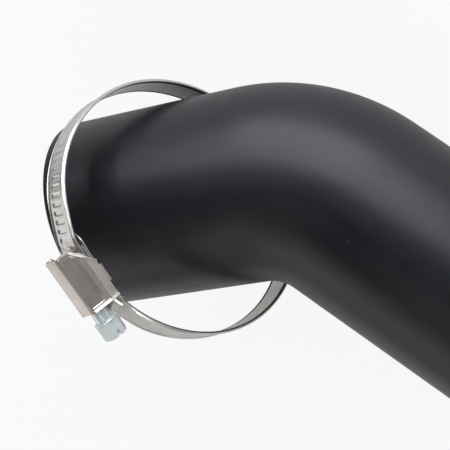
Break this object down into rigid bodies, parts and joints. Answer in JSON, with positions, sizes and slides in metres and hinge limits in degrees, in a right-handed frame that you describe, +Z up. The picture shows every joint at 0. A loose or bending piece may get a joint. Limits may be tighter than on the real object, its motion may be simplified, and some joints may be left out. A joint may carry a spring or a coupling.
{
  "type": "turbo air pipe",
  "caption": "Moulded black rubber elbow hose that carries charge air to an engine, with a worm-drive clamp hung loose round one end",
  "frame": {"origin": "middle of the underside of the box round the whole object, on the floor it lies on", "axes": "+X along the longest extent, from the clamped end towards the far end, +Z up, the object lying as it comes to rest"},
  "size_m": [0.1992, 0.1622, 0.1096],
  "materials": {
    "black_rubber": "smooth moulded rubber with a soft sheen",
    "bright_strip_steel": "bright rolled strip, faintly brushed along its length",
    "saddle_steel": "bright pressed plate",
    "cover_steel": "smooth folded sheet",
    "zinc_plated_steel": "pale bluish zinc plating"
  },
  "bodies": {
    "hose_and_clamp": {"air_pipe": "black_rubber", "clamp_band": "bright_strip_steel", "clamp_saddle": "saddle_steel", "clamp_housing": "cover_steel"},
    "screw": {"clamp_screw": "zinc_plated_steel"}
  },
  "joints": [
    {"name": "clamp_screw_turn", "type": "hinge", "parent": "hose_and_clamp", "child": "screw", "pos_m": [-0.07079, 0.02806, 0.1023], "axis": [0.2671, -0.9493, -0.1661], "continuous": true}
  ]
}
